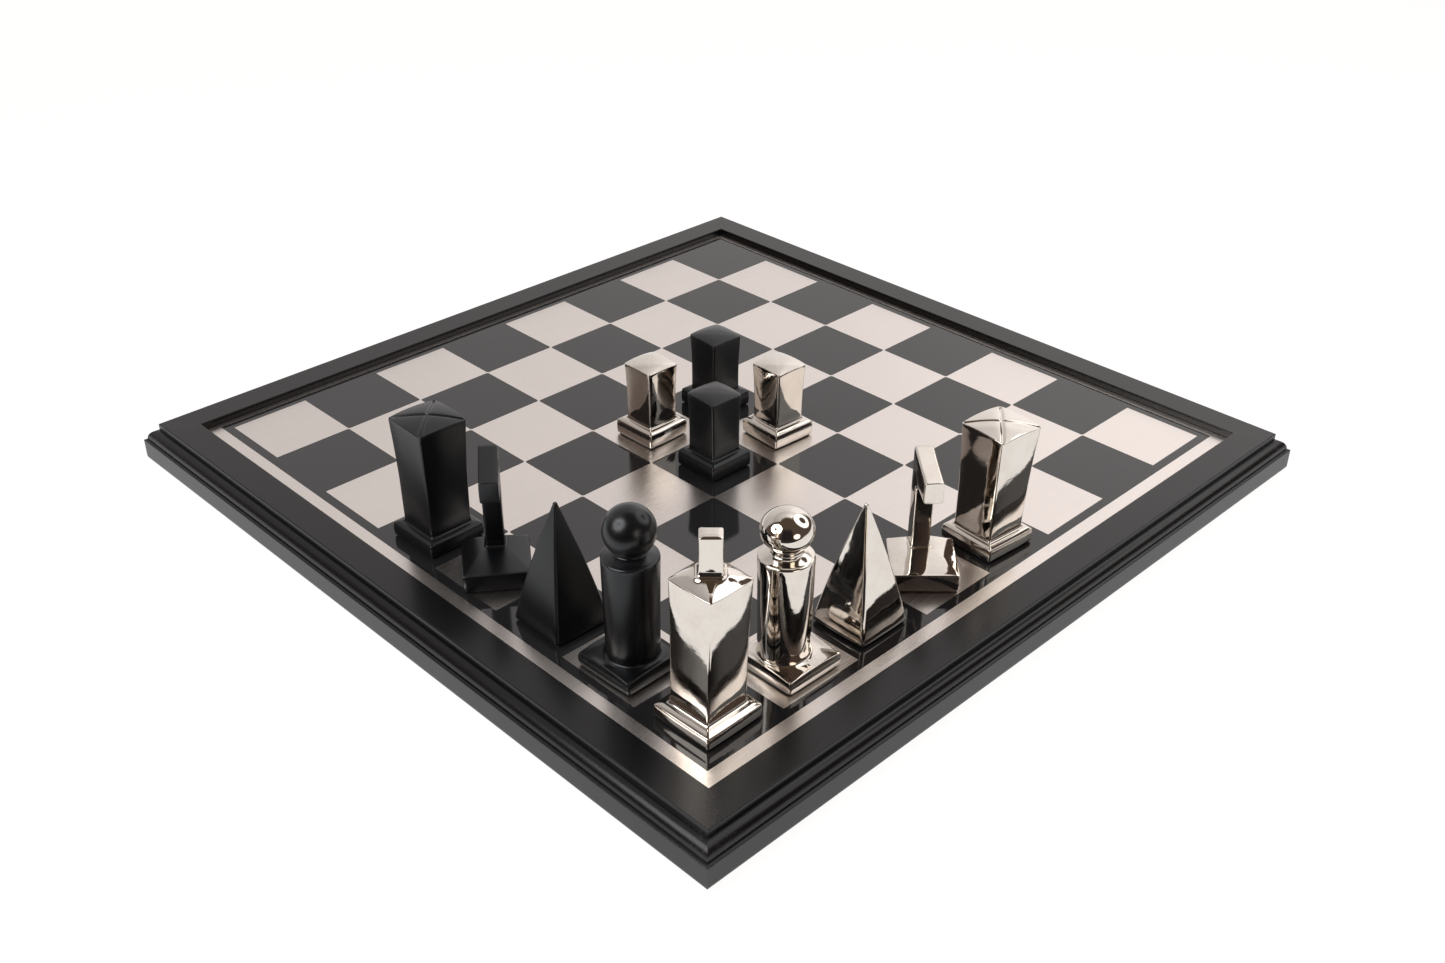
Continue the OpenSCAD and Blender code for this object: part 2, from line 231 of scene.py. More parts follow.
def feltLook(name):
    look = Look(name)
    fuzz = look.cloud(look.coords(), 1800, 6, 0.75)
    clump = look.cloud(look.coords(), 260, 4, 0.6)
    color = look.blend(clump, (0.008, 0.008, 0.009), (0.022, 0.022, 0.023))
    return look.finish(Base_Color=color, Roughness=0.95, Sheen_Weight=0.3,
                       Normal=look.bump(fuzz + clump, 0.5, 0.0004))


def boardLook(name, pale, deep, scale):
    look = Look(name)
    grain = look.cloud(look.coords(scale), 12, 7, 0.65, 0.6)
    return look.finish(Base_Color=look.blend(grain, pale, deep), Roughness=0.7,
                       Normal=look.bump(grain, 0.2, 0.0004))


railLooks = {"along": lacquerLook("lacquerAlongX", 0), "across": lacquerLook("lacquerAlongY", 1)}
steel = brushedLook()
enamel = enamelLook()
nickel = nickelLook()
blackCoat = blackCoatLook()
boardFelt = feltLook("boardFelt")
pieceFelt = feltLook("pieceFelt")
keyPly = boardLook("keyPly", (0.55, 0.40, 0.25), (0.40, 0.27, 0.15), (3, 30, 30))
panelBoard = boardLook("panelBoard", (0.42, 0.30, 0.19), (0.33, 0.22, 0.13), (20, 20, 20))
print("materials made")


def rubAttribute(mesh, reach):
    # how sharply the surface turns outwards at each point, from 0 to 1
    bm = bmesh.new()
    bm.from_mesh(mesh)
    bm.normal_update()
    values = []
    shortest = 1e-5     # keeps an edge without length from dividing by nothing
    for v in bm.verts:
        bend = [e.calc_face_angle_signed(0) / max(e.calc_length(), shortest)
                for e in v.link_edges if e.is_manifold]
        values.append(min(max(max(bend, default=0) * reach, 0), 1))
    bm.free()
    mesh.attributes.new("rub", "FLOAT", "POINT").data.foreach_set("value", values)


def finishPiece(bm, name, body, node, material, rub=0.0, sharp=60):
    bmesh.ops.recalc_face_normals(bm, faces=bm.faces)
    mesh = bpy.data.meshes.new(name)
    bm.to_mesh(mesh)
    bm.free()
    mesh.polygons.foreach_set("use_smooth", [True] * len(mesh.polygons))
    mesh.set_sharp_from_angle(angle=math.radians(sharp))
    if rub:
        rubAttribute(mesh, rub)
    mesh.materials.append(material)
    piece = bpy.data.objects.new(name, mesh)
    bpy.context.scene.collection.objects.link(piece)
    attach(piece, body)
    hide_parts(node)
    return piece


def arc(cx, cz, radius, start, stop, count):
    # points on an arc, with the angles in degrees
    turns = [math.radians(start + (stop - start) * k / count) for k in range(count + 1)]
    return [(cx + radius * math.cos(t), cz + radius * math.sin(t)) for t in turns]


def squareEdge(u, v, halfX, halfY, corner, belly=0.0):
    # where a point of the unit square's edge lies on a rectangle with round corners and bowed sides
    across = abs(v) >= abs(u)
    side, along = (v, u) if across else (u, v)
    halfSide, halfAlong = (halfY, halfX) if across else (halfX, halfY)
    flat = halfAlong - corner
    run = abs(along) * halfAlong
    out = halfSide
    if run > flat:
        swing = (run - flat) / corner * math.pi / 4
        run = flat + corner * math.sin(swing)
        out = halfSide - corner + corner * math.cos(swing)
    place = (math.copysign(run, along), math.copysign(out, side))
    x, y = place if across else (place[1], place[0])
    bowX, bowY = 1 - abs(y / halfY) ** 3, 1 - abs(x / halfX) ** 3
    return x * (1 + belly / halfX * bowX), y * (1 + belly / halfY * bowY)


def roundEdge(u, v, radius):
    # the same point on a circle, evenly spread
    across = abs(v) >= abs(u)
    side, along = (v, u) if across else (u, v)
    swing = math.asin(max(-1, min(1, along))) / 2
    place = (radius * math.sin(swing), math.copysign(radius * math.cos(swing), side))
    return place if across else (place[1], place[0])


def turnedEdge(u, v, halfX, halfY, corner):
    # the same point on a rectangle turned by 45 degrees
    x, y = roundEdge(u, v, 1)
    cos45 = math.sqrt(0.5)
    a, b = (x + y) * cos45, (y - x) * cos45
    reach = min(halfX / max(abs(a), 1e-6), halfY / max(abs(b), 1e-6))
    qa, qb = abs(a) * reach, abs(b) * reach
    if qa > halfX - corner and qb > halfY - corner:
        ca, cb = halfX - corner, halfY - corner
        ux, uy = abs(a), abs(b)
        dot, size = ux * ca + uy * cb, ux * ux + uy * uy
        gap = ca * ca + cb * cb - corner * corner
        reach = (dot + math.sqrt(max(dot * dot - gap * size, 0))) / size
    return x * reach, y * reach


def between(a, b, t):
    return a[0] + (b[0] - a[0]) * t, a[1] + (b[1] - a[1]) * t


def stack(levels, capHeight, steps=32):
    # a closed skin of quads: a grid for the cap, and its rim drawn down through the levels
    bm = bmesh.new()
    bmesh.ops.create_grid(bm, x_segments=2 * steps, y_segments=2 * steps, size=1)
    rim = [e for e in bm.edges if e.is_boundary]
    for level in levels[1:]:
        grown = bmesh.ops.extrude_edge_only(bm, edges=rim)["geom"]
        fresh = [g for g in grown if isinstance(g, bmesh.types.BMVert)]
        bmesh.ops.translate(bm, vec=(0, 0, -1), verts=fresh)
        rim = [g for g in grown if isinstance(g, bmesh.types.BMEdge) and g.is_boundary]
    bmesh.ops.contextual_create(bm, geom=rim)
    for v in bm.verts:
        level = levels[round(-v.co.z)]
        u, w = (math.sin(c * math.pi / 2) for c in (v.co.x, v.co.y))
        m = max(abs(u), abs(w))
        edge = level["shape"](u / m, w / m) if m else (0, 0)
        share = min(abs(u), abs(w)) / m if m else 0
        lift = capHeight(u, w, m) if level is levels[0] else level.get("crown", 0) * (1 - share * share)
        v.co = (level["at"] + level["x"] * edge[0] * m + level["y"] * edge[1] * m
                + level["x"].cross(level["y"]) * lift) * mm
    return bm


def flatLevel(z, shape, at=(0, 0), **extra):
    return {"at": Vector((*at, z)), "x": Vector((1, 0, 0)), "y": Vector((0, 1, 0)), "shape": shape, **extra}


def squareLevel(half, z, corner, belly=0.0, **extra):
    return flatLevel(z, lambda u, v: squareEdge(u, v, half, half, corner, belly), **extra)


def swayed(levels, own, band, foot, top):
    # the casting's own small shift at the foot of its column, and the lean and twist above it
    stand, lean = (Vector((*own.get(key, (0, 0)), 0)) for key in ("stand", "lean"))
    lowShare = 0.3     # how much of the twist is already there at the foot
    for level in levels:
        z = level["at"].z
        up = min(max((z - band) / (foot - band), 0), 1)
        rise = min(max((z - foot) / (top - foot), 0), 1)
        share = lowShare * up + (1 - lowShare) * rise
        spin = Matrix.Rotation(math.radians(own.get("twist", 0) * share), 3, "Z")
        level["at"] += up * stand + rise * lean
        level["x"], level["y"] = spin @ level["x"], spin @ level["y"]
    return levels


def waver(bm, size, depth, seed):
    # the slight unevenness of a casting polished by hand
    for v in bm.verts:
        p = v.co / (size * mm) + Vector((seed * 7.3, seed * 3.1, seed * 5.7))
        v.co += noise.noise_vector(p) * depth * mm


def place(bm, node, turn):
    # puts a piece that was made round the origin on its felt's square
    low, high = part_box(node + "_felt")
    centre = ((low.x + high.x) / 2, (low.y + high.y) / 2, low.z)
    spin = Matrix.Rotation(math.radians(turn), 4, "Z")
    bmesh.ops.transform(bm, matrix=Matrix.Translation(centre) @ spin, verts=bm.verts)


def bowed(start, stop, bulge, count=6):
    # points between two others, along a shallow outward bow
    (x, z), (dx, dz) = start, (stop[0] - start[0], stop[1] - start[1])
    points = []
    for k in range(1, count):
        t = k / count
        out = 4 * bulge * t * (1 - t) / math.hypot(dx, dz)
        points.append((x + dx * t + dz * out, z + dz * t - dx * out))
    return points


def plinthOutline(s):
    # (half width, height) of a plinth from the underside up to the column's foot
    bulge, lowSoft = 0.22, 0.5
    half, band, foot = s["plinth"] - bulge, s["band"], s["foot"]
    soft, flare = s["bandSoft"], s["flare"]
    low = arc(half - lowSoft, s["felt"] + lowSoft, lowSoft, -90, 0, 5)
    edge = arc(half - soft, band - soft, soft, 0, 90 - s["tilt"], 7)
    out, edgeZ = edge[-1]
    bottom = edgeZ + (out - foot - flare) * math.tan(math.radians(s["tilt"]))
    rise = arc(foot + flare, bottom + flare, flare, 270 - s["tilt"], 181, 12)
    return [*low, *bowed(low[-1], edge[0], bulge), *edge, *bowed(edge[-1], rise[0], bulge), *rise]


def columnOutline(s, start):
    # the column's slightly hollow sides, up to just under its top edges
    top = s["topZ"] - s["soft"]
    points = []
    for k in range(1, s["rows"] + 1):
        t = k / s["rows"]
        half = s["foot"] + (s["top"] - s["foot"]) * t ** s["curve"] - s["waist"] * math.sin(math.pi * t)
        points.append((half, start + (top - start) * t))
    return points


def columnLevels(s, own):
    # from the rounded top edges down to the underside
    crownReach, bellyReach, lowBelly = 12, 6, 0.3
    outline = plinthOutline(s)
    below, footZ = len(outline), outline[-1][1]
    outline += columnOutline(s, footZ)
    soft = s["soft"]
    outline += arc(s["top"] - soft, s["topZ"] - soft, soft, 10, 70, 4)
    levels = []
    for k, (half, z) in enumerate(outline):
        lifted = max(0, (z - s["topZ"] + crownReach) / crownReach) ** 2 * s["crown"]
        belly = s["belly"] * (min(max((z - footZ) / bellyReach, 0), 1) if k >= below else lowBelly)
        levels.append(squareLevel(half, z, s["corner"], belly, crown=lifted))
    levels.reverse()
    return swayed(levels, own, s["band"], footZ, s["topZ"])


def kingBody(own):
    s = {"felt": 0.8, "plinth": 16.5, "band": 7.0, "bandSoft": 0.8, "tilt": 24, "flare": 1.8,
         "foot": 11.6, "top": 12.3, "topZ": 71.4, "curve": 1.2, "waist": 0.25, "belly": 0.55,
         "corner": 0.9, "soft": 0.45, "rows": 30, "crown": 0.0}
    roof = {"rise": 3.8, "round": 0.9, "top": 6.2, "topCorner": 2.2, "rows": 16}
    finial = {"halfX": 4.4, "halfY": 5.15, "corner": 1.1, "foot": 1.3, "height": 22.4, "pinch": 0.35,
              "dome": 0.6, "soft": 0.5, "rows": 14}
    levels = columnLevels(s, own)
    below = list(reversed(levels))
    start = s["topZ"] + 0.05
    for k in range(1, roof["rows"] + 1):
        t = k / roof["rows"]
        half = (s["top"] - 0.5) * (1 - t) + roof["top"] * t
        z = start + roof["rise"] * math.sin(t * math.pi / 2 * roof["round"])
        turn = t * t * (3 - 2 * t)

        def roofShape(u, v, half=half, turn=turn, t=t):
            a = squareEdge(u, v, half, half, s["corner"] * (1 + 2 * turn), s["belly"] * (1 - t))
            halfX, halfY = finial["halfX"] + finial["foot"], finial["halfY"] + finial["foot"]
            b = turnedEdge(u, v, halfX, halfY, roof["topCorner"])
            return between(a, b, turn)
        below.append(flatLevel(z, roofShape))
    footZ = below[-1]["at"].z
    for x, z in arc(finial["foot"], footZ + finial["foot"], finial["foot"], 262, 180, 9):
        below.append(finialLevel(finial, x, z, z - footZ))
    base = below[-1]["at"].z
    top = s["topZ"] + finial["height"] - finial["dome"] - finial["soft"]
    for k in range(1, finial["rows"] + 1):
        z = base + (top - base) * k / finial["rows"]
        below.append(finialLevel(finial, 0, z, z - footZ))
    for x, z in arc(-finial["soft"], top, finial["soft"], 15, 75, 4):
        below.append(finialLevel(finial, x, z, z - footZ))
    below.reverse()
    swayed(below[:-len(levels)], own, s["band"], s["band"] + 1, s["topZ"])
    return stack(below, lambda u, v, m: finial["dome"] * (1 - m ** 4))


def finialLevel(s, extra, z, height):
    # the finial's sides draw in a little half way up
    pinch = s["pinch"] * math.sin(math.pi * min(height / s["height"], 1)) if extra <= 0 else 0
    hx, hy = s["halfX"] + extra - pinch, s["halfY"] + extra - pinch
    return flatLevel(z, lambda u, v: turnedEdge(u, v, hx, hy, s["corner"] + max(extra, 0) * 0.6))


def queenBody(own):
    s = {"felt": 0.8, "plinth": 16.6, "band": 6.8, "soft": 0.5, "hip": 1.0, "hipRows": 18, "flare": 1.2,
         "foot": 12.1, "top": 12.85, "rimZ": 59.0, "rim": 1.1, "rows": 24, "neck": 7.0, "neckZ": 61.4,
         "ball": 11.8, "ballZ": 71.2, "corner": 0.7, "lowCorner": 1.3, "lowBelly": 0.3, "arch": 1.0,
         "bulge": 0.5, "cap": 50}
    s["foot"] -= own.get("slimmer", 0)
    s["top"] -= own.get("slimmer", 0)
    levels = []
    soft = s["soft"]
    inner = s["plinth"] - s["bulge"] - soft
    for x, z in arc(inner, s["felt"] + soft, soft, -90, 0, 5):
        levels.append(squareLevel(x, z, s["lowCorner"], s["lowBelly"]))
    for k in range(1, 6):     # the corners sharpen towards the plinth's top edge
        t = k / 6
        half = s["plinth"] + s["bulge"] * (4 * t * (1 - t) - 1)
        z = s["felt"] + soft + (s["band"] - s["felt"] - 2 * soft) * t
        corner = s["lowCorner"] * (1 - t) + s["corner"] * t
        levels.append(squareLevel(half, z, corner, s["lowBelly"] * (1 - t), crown=s["arch"] * t))
    for x, z in arc(inner, s["band"] - soft, soft, 0, 80, 6):
        levels.append(squareLevel(x, z, s["corner"], crown=s["arch"]))
    wide = s["foot"] + s["flare"]
    for k in range(1, s["hipRows"] + 1):
        t = k / s["hipRows"]
        half = (inner - 0.1) * (1 - t) + wide * t
        turn = t ** 1.2

        def hipShape(u, v, half=half, turn=turn):
            a = squareEdge(u, v, half, half, s["corner"])
            return between(a, roundEdge(u, v, wide), turn)
        levels.append(flatLevel(s["band"] + 0.05 + s["hip"] * t, hipShape, crown=s["arch"] * (1 - t) ** 2))
    footZ = s["band"] + s["hip"]
    outline = arc(wide, footZ + s["flare"] + 0.05, s["flare"], 250, 183, 8)
    start, stop = outline[-1][1], s["rimZ"] - s["rim"]
    for k in range(1, s["rows"] + 1):
        t = k / s["rows"]
        outline.append((s["foot"] + (s["top"] - s["foot"]) * t ** 1.1, start + (stop - start) * t))
    outline += arc(s["top"] - s["rim"], s["rimZ"] - s["rim"], s["rim"], 12, 78, 7)
    outline += [(s["top"] - 2.2, s["rimZ"] + 0.25), (s["neck"] + 2.0, s["rimZ"] + 1.3)]
    outline += arc(s["neck"] + s["flare"], s["neckZ"] + 0.35, s["flare"], 242, 184, 6)
    squash = own.get("squash", 1)
    meet = math.degrees(math.acos(s["neck"] / s["ball"])) - 1
    for x, z in arc(0, 0, s["ball"], -meet, s["cap"], 44):
        outline.append((x, s["ballZ"] + z * squash))
    for r, z in outline:
        levels.append(flatLevel(z, lambda u, v, r=r: roundEdge(u, v, r)))
    levels.reverse()
    swayed(levels, own, s["band"] + 0.05, footZ, s["ballZ"])
    rise, reach = (f(math.radians(s["cap"])) for f in (math.sin, math.cos))
    return stack(levels, lambda u, v, m: s["ball"] * squash * (math.sqrt(1 - (m * reach) ** 2) - rise))


def bishopBody(own):
    s = {"felt": 0.8, "half": 15.4, "height": 64.4, "bow": 1.0, "belly": 0.5, "corner": 1.5, "soft": 1.3,
         "tip": 1.0, "tipCorner": 0.75, "tipHeight": 1.4, "rows": 44}
    outline = arc(s["half"] - s["soft"], s["felt"] + s["soft"], s["soft"], -85, 0, 8)
    start, stop = outline[-1][1], s["height"] - s["tipHeight"]
    corners = [s["corner"]] * len(outline)
    for k in range(1, s["rows"] + 1):
        t = k / s["rows"]
        bow = s["bow"] * 4 * t * (1 - t) * (1 - 0.35 * t)     # fullest a little below the middle
        outline.append((s["half"] * (1 - t) + s["tip"] * t + bow, start + (stop - start) * t))
        corners.append(s["corner"] * (1 - t) + s["tipCorner"] * t)
    levels = [squareLevel(half, z, min(corner, half * 0.9), s["belly"] * (half / s["half"]) ** 2)
              for (half, z), corner in zip(outline, corners)]
    levels.reverse()
    swayed(levels, own, 0, 1, s["height"])
    return stack(levels, lambda u, v, m: 1.2 * math.sqrt(max(1 - m * m, 0)))


def knightBody(own):
    s = {"felt": 0.8, "half": 16.2, "base": 9.7, "pillow": 0.9, "corner": 1.1, "lowCorner": 2.0, "soft": 0.8,
         "belly": 0.2, "headHalf": 4.5, "back": 15.5, "postDepth": 9.3, "height": 62.2, "reach": 25.3,
         "fall": 6.3, "face": 10.8, "headCorner": 0.9, "fillet": 1.2, "bend": 3.2, "cornerSoft": 1.0}
    pivot = Vector((0, 10.8, 0))     # the post turns a little on its base

    def turned(level, share=1.0):
        spin = Matrix.Rotation(math.radians(own.get("twist", 0) * share), 3, "Z")
        shift = share * Vector((*own.get("stand", (0, 0)), 0))
        level["at"] = spin @ (level["at"] - pivot) + pivot + shift
        level["x"], level["y"] = spin @ level["x"], spin @ level["y"]
        return level

    levels = []
    for x, z in arc(s["half"] - 0.5, s["felt"] + 0.5, 0.5, -90, 0, 5):
        levels.append(squareLevel(x, z, s["lowCorner"], s["belly"]))
    edge = s["half"] - s["soft"]
    for x, z in arc(edge, s["base"] - s["soft"], s["soft"], 0, 80, 8):
        levels.append(squareLevel(x, z, s["corner"], s["belly"]))
    postMid = s["back"] - s["postDepth"] / 2
    footX, footY = s["headHalf"] + s["fillet"], s["postDepth"] / 2 + s["fillet"]
    rows = 16
    for k in range(1, rows + 1):
        t = k / rows
        hx = edge * (1 - t) + footX * t
        backY = edge * (1 - t) + (s["back"] + 0.1) * t
        frontY = -edge * (1 - t) + (postMid - footY) * t
        z = s["base"] + 0.05 + s["pillow"] * math.sin(t * math.pi / 2)
        corner = s["corner"] * (1 - t) + 1.5 * t
        levels.append(turned(flatLevel(
            z, lambda u, v, hx=hx, hy=(backY - frontY) / 2, c=corner: squareEdge(u, v, hx, hy, c),
            at=(0, (backY + frontY) / 2)), t * t))
    footZ = s["base"] + s["pillow"]
    for x, z in arc(s["fillet"], footZ + s["fillet"], s["fillet"], 262, 180, 7):
        backY = s["back"] + min(x, 0.1)
        frontY = s["back"] - s["postDepth"] - x
        levels.append(turned(flatLevel(
            z, lambda u, v, hx=s["headHalf"] + x, hy=(backY - frontY) / 2, c=s["headCorner"] + x * 0.4:
            squareEdge(u, v, hx, hy, c), at=(0, (backY + frontY) / 2))))

    # the post and the head, between the outer outline and the inner one
    front = s["back"] - s["reach"]
    topFront = s["height"] - s["fall"]
    faceLow = topFront - s["face"]
    postFront = s["back"] - s["postDepth"]
    bend = s["bend"]
    innerCorner = Vector((postFront - bend, faceLow + 0.8 - bend))
    foot, shoulder = (s["back"], footZ + s["fillet"]), (s["back"], s["height"])
    outer = [Vector(p) for p in (foot, shoulder, (front, topFront))]
    inner = [Vector((postFront, footZ + s["fillet"])), Vector((postFront, innerCorner.y))]
    pairs = []
    rows = 22
    outerStop = Vector((s["back"], innerCorner.y))
    for k in range(1, rows + 1):
        t = k / rows
        pairs.append((outer[0].lerp(outerStop, t), inner[0].lerp(inner[1], t)))
    # round the bend, where the outer side runs up to its corner and then along the top
    turnRows = 26
    upLength = s["height"] - innerCorner.y
    slope = (outer[2] - outer[1]).normalized()
    cornerSoft = s["cornerSoft"]
    for k in range(1, turnRows + 1):
        t = k / turnRows
        angle = math.radians(90 * t)
        into = innerCorner + Vector((bend * math.cos(angle), bend * math.sin(angle)))
        run = t * (upLength + 13.0)
        if run < upLength - cornerSoft:
            out = Vector((s["back"], innerCorner.y + run))
        elif run > upLength + cornerSoft:
            out = outer[1] + slope * (run - upLength)
        else:
            w = (run - upLength + cornerSoft) / (2 * cornerSoft)
            a, b, c = outer[1] - Vector((0, cornerSoft)), outer[1], outer[1] + slope * cornerSoft
            out = a.lerp(b, w).lerp(b.lerp(c, w), w)
        pairs.append((out, into))
    rows = 18
    outStart, inStart = pairs[-1]
    inStop = Vector((front + 0.6, faceLow))
    for k in range(1, rows + 1):
        t = k / rows
        pairs.append((outStart.lerp(outer[2] + Vector((0.45, 0.12)), t), inStart.lerp(inStop, t)))
    for k, (out, into) in enumerate(pairs + [pairs[-1]] * 3):
        inset, ahead = ((0, 0), (0.07, 0.2), (0.18, 0.33), (0.32, 0.4))[max(k - len(pairs) + 1, 0)]
        centre, across = (out + into) / 2, (out - into).normalized()
        half = (out - into).length / 2 - inset
        x, y = Vector((1, 0, 0)), Vector((0, across.x, across.y))

        def headShape(u, v, high=half, wide=s["headHalf"] - inset):
            return squareEdge(u, v, wide, high, s["headCorner"], 0.15)
        at = Vector((0, centre.x, centre.y)) + x.cross(y) * ahead
        levels.append(turned({"at": at, "x": x, "y": y, "shape": headShape}))
    levels.reverse()
    return stack(levels, lambda u, v, m: 0.1 * (1 - m * m))


def rookBody(own):
    s = {"felt": 0.8, "plinth": 16.0, "band": 7.8, "bandSoft": 0.8, "tilt": 20, "flare": 1.6,
         "foot": 11.8, "top": 13.3, "topZ": 65.4 + own.get("taller", 0), "curve": 1.5, "waist": 0.2,
         "belly": 0.45, "corner": 0.9, "soft": 0.5, "rows": 30, "crown": 0.8}
    roof = {"rise": 2.2, "groove": 0.75, "width": 0.9}

    def roofHeight(u, v, m):
        rise = roof["rise"] * (1 - m ** 1.8)
        share = min(abs(u), abs(v)) / max(m, 1e-6)
        across = abs(abs(u) - abs(v)) * s["top"] * math.sqrt(0.5)
        fade = min(1, max(0, (1 - m) / 0.03))
        groove = roof["groove"] * math.exp(-(across / roof["width"]) ** 2 * 2.2) * (0.35 + 0.65 * fade)
        return rise + s["crown"] * (1 - share ** 2) * m - groove
    return stack(columnLevels(s, own), roofHeight, 40)


def pawnBody(own):
    s = {"felt": 0.8, "plinth": 13.9, "band": 9.0, "bandSoft": 0.9, "tilt": 22, "flare": 1.5,
         "foot": 9.6, "top": 10.2, "topZ": 43.2, "curve": 1.6, "waist": 0.2, "belly": 0.4,
         "corner": 0.9, "soft": 0.5, "rows": 24, "crown": 0.5}

    def domeHeight(u, v, m):
        share = min(abs(u), abs(v)) / max(m, 1e-6)
        return 1.9 * (1 - m ** 2) + s["crown"] * (1 - share ** 2) * m
    return stack(columnLevels(s, own), domeHeight)


castings = {     # each one's own turn on its square, and how its hand-finished column stands on its plinth
    "silver_king": {"make": kingBody, "turn": 0.8, "lean": (0.7, -0.9)},
    "silver_queen": {"make": queenBody, "turn": -0.5, "stand": (-1.8, 1.8), "squash": 0.83, "slimmer": 0.4},
    "silver_bishop": {"make": bishopBody, "turn": 0},
    "silver_knight": {"make": knightBody, "turn": -44.5, "twist": 6.2, "stand": (-0.9, 0.5)},
    "silver_rook": {"make": rookBody, "turn": -4.3, "twist": -1.7, "lean": (0.8, -0.8)},
    "silver_pawn_1": {"make": pawnBody, "turn": 1.0, "twist": -2.2},
    "silver_pawn_2": {"make": pawnBody, "turn": -3.7, "twist": 1.8},
    "black_queen": {"make": queenBody, "turn": 1.5, "stand": (0.9, -0.9)},
    "black_bishop": {"make": bishopBody, "turn": -0.5},
    "black_knight": {"make": knightBody, "turn": -36, "twist": -1.9},
    "black_rook": {"make": rookBody, "turn": 0.6, "twist": -1.9, "taller": 1.0},
    "black_pawn_1": {"make": pawnBody, "turn": -0.6, "twist": -2.0},
    "black_pawn_2": {"make": pawnBody, "turn": -3},
}
for count, (node, own) in enumerate(castings.items()):
    bm = own["make"](own)
    silver = node.startswith("silver")
    waver(bm, 14, 0.1 if silver else 0.08, count + 1)
    place(bm, node, own["turn"])
    finishPiece(bm, node + "_casting", node, node,
                nickel if silver else blackCoat, rub=0.0012, sharp=70)
    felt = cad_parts[node + "_felt"]
    felt.data.materials.clear()
    felt.data.materials.append(pieceFelt)
print("castings made:", len(castings))


def railOutline():
    # (distance from the middle of the board, height), round the rail's section
    s = {"slab": 16.7, "quarter": 5.5, "foot": 0.3, "ledge": 1.6, "base": 12.8, "arris": 0.45, "bottom": 2.4,
         "rabbet": 8, "plate": 1.2, "recess": 4}
    low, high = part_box("right_rail")
    outer, under, top = high.x / mm, low.z / mm, high.z / mm
    ledge = under + s["base"]
    slab = outer - s["ledge"] - s["quarter"]
    wall = slab - s["slab"]
    a, hold = s["arris"], 2 * s["arris"]     # points close to each soft edge keep the faces between flat
    lip = top - s["recess"] - s["plate"]
    points = [(wall, top - hold), *arc(wall + a, top - a, a, 180, 90, 4), (wall + hold, top)]
    points += [(slab - hold, top), *arc(slab - a, top - a, a, 90, 0, 5)]
    points += arc(slab - 0.2, ledge + s["foot"] + s["quarter"] + 0.35, 0.35, -60, -100, 2)
    points += arc(slab, ledge + s["foot"], s["quarter"], 84, 4, 12)
    points += [(slab + s["quarter"] - 0.05, ledge + 0.05)]
    points += [*arc(outer - a, ledge - a - 0.1, a, 84, 0, 5), (outer, ledge - 0.1 - hold)]
    points += [(outer, under + s["bottom"] + a)]
    points += arc(outer - s["bottom"], under + s["bottom"], s["bottom"], 0, -90, 8)
    points += [(wall + s["rabbet"], under), (wall + s["rabbet"], lip), (wall, lip)]
    return points, outer


def makeRail(name, node, turn, material):
    points, outer = railOutline()
    spare, rows = 2, 20     # the length that the mitres cut off, and the rows each side of the middle
    bm = bmesh.new()
    ring = [bm.verts.new(Vector((x, -outer - spare, z)) * mm) for x, z in points]
    section = bm.faces.new(ring)
    pushed = bmesh.ops.extrude_face_region(bm, geom=[section])["geom"]
    bmesh.ops.translate(bm, vec=(0, 2 * (outer + spare) * mm, 0),
                        verts=[g for g in pushed if isinstance(g, bmesh.types.BMVert)])

    def cut(y, way, **more):
        return bmesh.ops.bisect_plane(bm, geom=bm.verts[:] + bm.edges[:] + bm.faces[:],
                                      plane_co=(0, y, 0), plane_no=way, **more)["geom_cut"]
    for side in (1, -1):     # the two mitres
        rim = [g for g in cut(0, (-1, side, 0), clear_outer=True) if isinstance(g, bmesh.types.BMEdge)]
        bmesh.ops.contextual_create(bm, geom=rim)
    for row in range(-rows, rows + 1):     # rows along the rail, for the rubbed edges
        cut(row * 10 * mm, (0, 1, 0))
    bmesh.ops.rotate(bm, cent=(0, 0, 0), matrix=Matrix.Rotation(math.radians(turn), 3, "Z"), verts=bm.verts)
    finishPiece(bm, name, "board", node, material, rub=0.0006, sharp=40)


makeRail("rightRail", "right_rail", 0, railLooks["across"])
makeRail("backRail", "back_rail", 90, railLooks["along"])
makeRail("leftRail", "left_rail", 180, railLooks["across"])
makeRail("frontRail", "front_rail", 270, railLooks["along"])
print("rails made")

for node, material in (("steel_plate", steel), ("enamel_squares", enamel), ("base_panel", panelBoard),
                       ("corner_keys", keyPly), ("base_felt", boardFelt)):
    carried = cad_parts[node]
    carried.data.materials.clear()
    carried.data.materials.append(material)


shot = {"middle": (0.002, 0.003), "from": (-0.5195, -0.5296, 0.4271), "aim": (-0.0339, -0.0401, 0),
        "lens": 38.386, "sensor": 36, "roll": -0.396}     # from and aim count from the pattern's middle
middle = Vector((*shot["middle"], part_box("steel_plate")[1].z))
view = Vector(shot["aim"]) - Vector(shot["from"])
cameraData = bpy.data.cameras.new("camera")
cameraData.lens = shot["lens"]
cameraData.sensor_width = shot["sensor"]
camera = bpy.data.objects.new("camera", cameraData)
camera.location = middle + Vector(shot["from"])
camera.rotation_mode = "QUATERNION"
roll = Matrix.Rotation(math.radians(shot["roll"]), 3, view.normalized()).to_quaternion()
camera.rotation_quaternion = roll @ view.to_track_quat("-Z", "Y")
bpy.context.scene.collection.objects.link(camera)
bpy.context.scene.camera = camera

bm = bmesh.new()
bmesh.ops.create_grid(bm, x_segments=8, y_segments=8, size=6)
floorMesh = bpy.data.meshes.new("floor")
bm.to_mesh(floorMesh)
bm.free()


